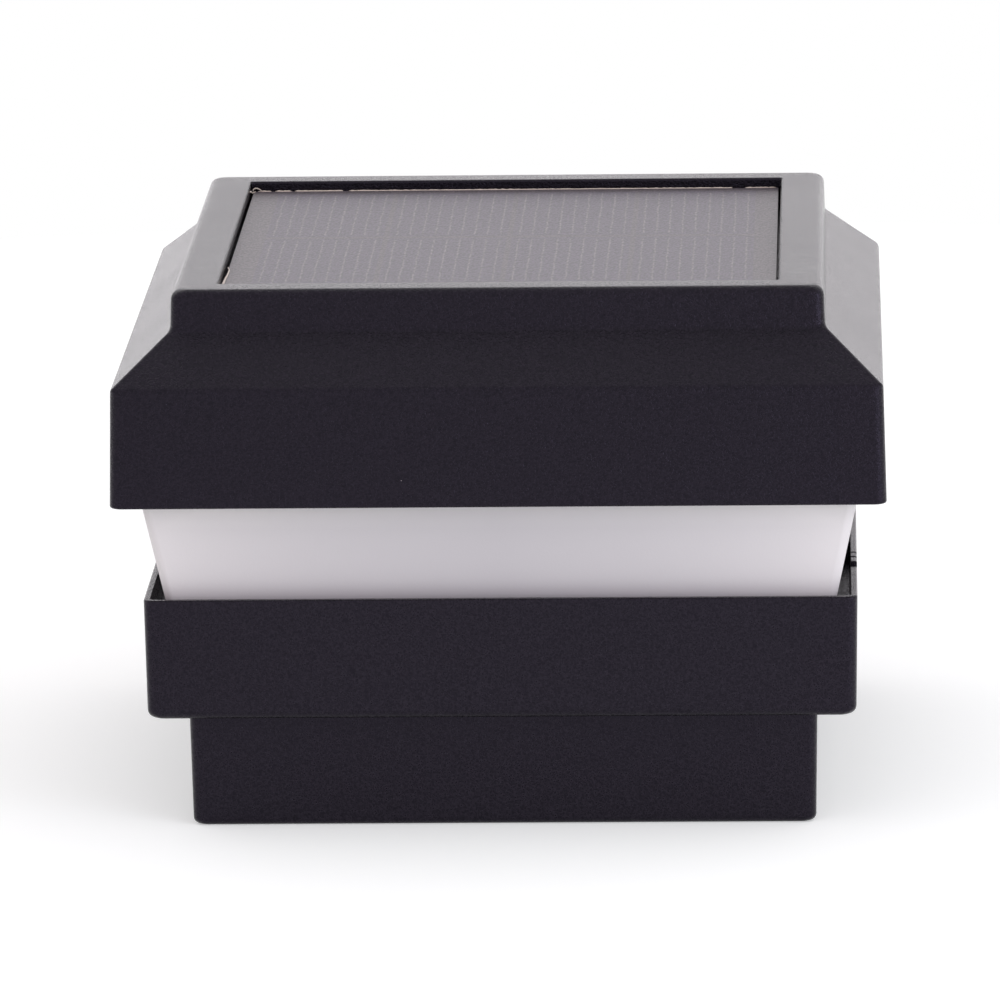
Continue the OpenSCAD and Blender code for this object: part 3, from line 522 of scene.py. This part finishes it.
def smooth_run(corners, step):
    """Closely spaced points on a smooth curve through corners given in millimetres."""
    corners = [Vector(c) * mm for c in corners]
    corners = [2 * corners[0] - corners[1], *corners, 2 * corners[-1] - corners[-2]]
    run = []
    for a, b, c, d in zip(corners, corners[1:], corners[2:], corners[3:]):
        count = max(2, round((c - b).length / step))
        for i in range(count):
            t = i / count
            run.append(0.5 * ((2 * b) + (c - a) * t + (2 * a - 5 * b + 4 * c - d) * t * t
                              + (3 * b - a - 3 * c + d) * t ** 3))
    return run + [corners[-2]]


for number, (start, end) in enumerate(BEAD_RUNS, 1):
    count = round((end - start) / 0.22)
    line, girth = [], []
    for i in range(count + 1):
        x = start + (end - start) * i / count
        lump = noise.noise(Vector((x * 1.7, 3.1, 0)))
        wander = noise.noise(Vector((x * 0.45, 9.4, 0)))
        behind = REAR_EDGE + (0.02 + 0.08 * wander) * mm
        line.append(Vector((x * mm, behind, SHEET_TOP + (0.03 + 0.03 * lump) * mm)))
        taper = min(1, 0.25 + 2 * min(i, count - i) / 6)
        girth.append((0.095 + 0.05 * lump + (0.025 if x < -27 else 0)) * mm * taper)
    squeeze("rear_bead_%d" % number, line, girth)

STRANDS = {
    "corner_curl": (((-41.35, 41.6, 80.5), (-41.3, 41.9, 80.8), (-40.9, 42.1, 80.95), (-40.4, 42.0, 80.8),
                     (-39.9, 41.9, 80.5)), 0.10, 0.09),
    "corner_string": (((-41.4, 39.6, 80.6), (-41.2, 40.8, 80.5), (-40.9, 41.7, 80.5)), 0.10, 0.08),
    "wall_blob": (((-41.55, 37.6, 81.15), (-41.5, 38.6, 81.0), (-41.45, 39.6, 80.7)), 0.16, 0.10),
    "front_strand": (((-41.4, -22.0, 80.48), (-41.05, -24.6, 80.5), (-41.05, -28.0, 80.5),
                      (-41.2, -32.0, 80.5), (-41.3, -36.5, 80.5)), 0.09, 0.20),
}
for name, (corners, first, last) in STRANDS.items():
    run = smooth_run(corners, 0.2 * mm)
    girth = [(first + (last - first) * i / len(run)) * mm * min(1, 0.3 + 0.3 * min(i, len(run) - 1 - i))
             for i in range(len(run))]
    squeeze(name, run, girth)


# ---- Floor and backdrop ----
# A pale table in an even white room, which the lens, gloss and glass all see alike. Matt surfaces get a
# slightly rosy light, and the table's own colour offsets it. A soft window is at the right, a softbox behind.

TABLE_RADIUS = 0.45
TABLE_SIDES = 96
TABLE_COLOUR = (0.80, 0.88, 0.82, 1)
FLOOR_LIFT = 0.34
ROSY = (1.0, 0.89, 0.97, 1)
EVEN_LEVEL = 0.95
WHITE = (1, 1, 1, 1)
BACKGROUND = ("Is Camera Ray", "Is Glossy Ray", "Is Transmission Ray")


def sees_background(made):
    """1 for every ray that shows the background: straight, in gloss or through glass."""
    do = sums(made)
    rays = [add(made, "LightPath", {}, out=ray) for ray in BACKGROUND]
    return do("MAXIMUM", do("MAXIMUM", rays[0], rays[1]), rays[2])


rim = [2 * math.pi * i / TABLE_SIDES for i in range(TABLE_SIDES)]
table = bpy.data.meshes.new("table")
edge = [(TABLE_RADIUS * math.cos(a), TABLE_RADIUS * math.sin(a), 0) for a in rim]
table.from_pydata(edge, [], [range(TABLE_SIDES)])
floor = bpy.data.objects.new("floor", table)
bpy.context.scene.collection.objects.link(floor)
paper = bpy.data.materials.new("white_paper")
paper.use_nodes = True
nodes = paper.node_tree.nodes
paper_out = nodes["Material Output"].inputs["Surface"]
nodes.remove(nodes["Principled BSDF"])
matt = add(paper, "BsdfDiffuse", {"Color": TABLE_COLOUR})
lift = add(paper, "Math", {0: sees_background(paper), 1: FLOOR_LIFT}, operation="MULTIPLY")
backing = add(paper, "Emission", {"Strength": lift})
paper.node_tree.links.new(add(paper, "AddShader", {0: matt, 1: backing}), paper_out)
floor.data.materials.append(paper)

room = bpy.data.worlds.new("room")
bpy.context.scene.world = room
room.use_nodes = True
room.node_tree.nodes.clear()
even_light = add(room, "Background", {"Color": ROSY, "Strength": EVEN_LEVEL})
white_wall = add(room, "Background", {"Color": WHITE, "Strength": 1.0})
walls = add(room, "MixShader", {0: sees_background(room), 1: even_light, 2: white_wall})
room_out = room.node_tree.nodes.new("ShaderNodeOutputWorld")
room.node_tree.links.new(walls, room_out.inputs["Surface"])


def softbox(name, width, height, energy, colour, place, aim):
    """A soft rectangular lamp that faces a point."""
    made = bpy.data.lights.new(name, "AREA")
    made.shape = "RECTANGLE"
    made.size, made.size_y = width, height
    made.energy, made.color = energy, colour
    lamp_head = bpy.data.objects.new(name, made)
    lamp_head.location = place
    lamp_head.rotation_euler = (Vector(aim) - Vector(place)).to_track_quat("-Z", "Y").to_euler()
    lamp_head.visible_camera = False
    bpy.context.scene.collection.objects.link(lamp_head)


softbox("window", 0.25, 0.25, 0.45, (0.84, 0.86, 1.0), (0.30, -0.30, 0.15), (0, 0, 0.03))
softbox("rear_softbox", 1.6, 0.9, 1.4, (1.0, 0.88, 0.98), (0, 1.3, 0.35), (0, 0, 0.08))


# ---- Camera ----
# A long lens, a little above and to the right of the object.

SENSOR = 0.036
FOCAL = 9.36529 * SENSOR
YAW, PITCH, ROLL = -0.036292, 0.211815, -0.014181
PLACE = (0.049363, -1.405856, 0.342118)

camera_data = bpy.data.cameras.new("camera")
camera_data.sensor_width = SENSOR * 1000
camera_data.lens = FOCAL * 1000
camera = bpy.data.objects.new("camera", camera_data)
camera.location = PLACE
turned = Euler((math.pi / 2 - PITCH, 0, -YAW)).to_matrix() @ Matrix.Rotation(ROLL, 3, "Z")
camera.rotation_euler = turned.to_euler()
bpy.context.scene.collection.objects.link(camera)
bpy.context.scene.camera = camera
bpy.context.scene.view_settings.view_transform = "Standard"
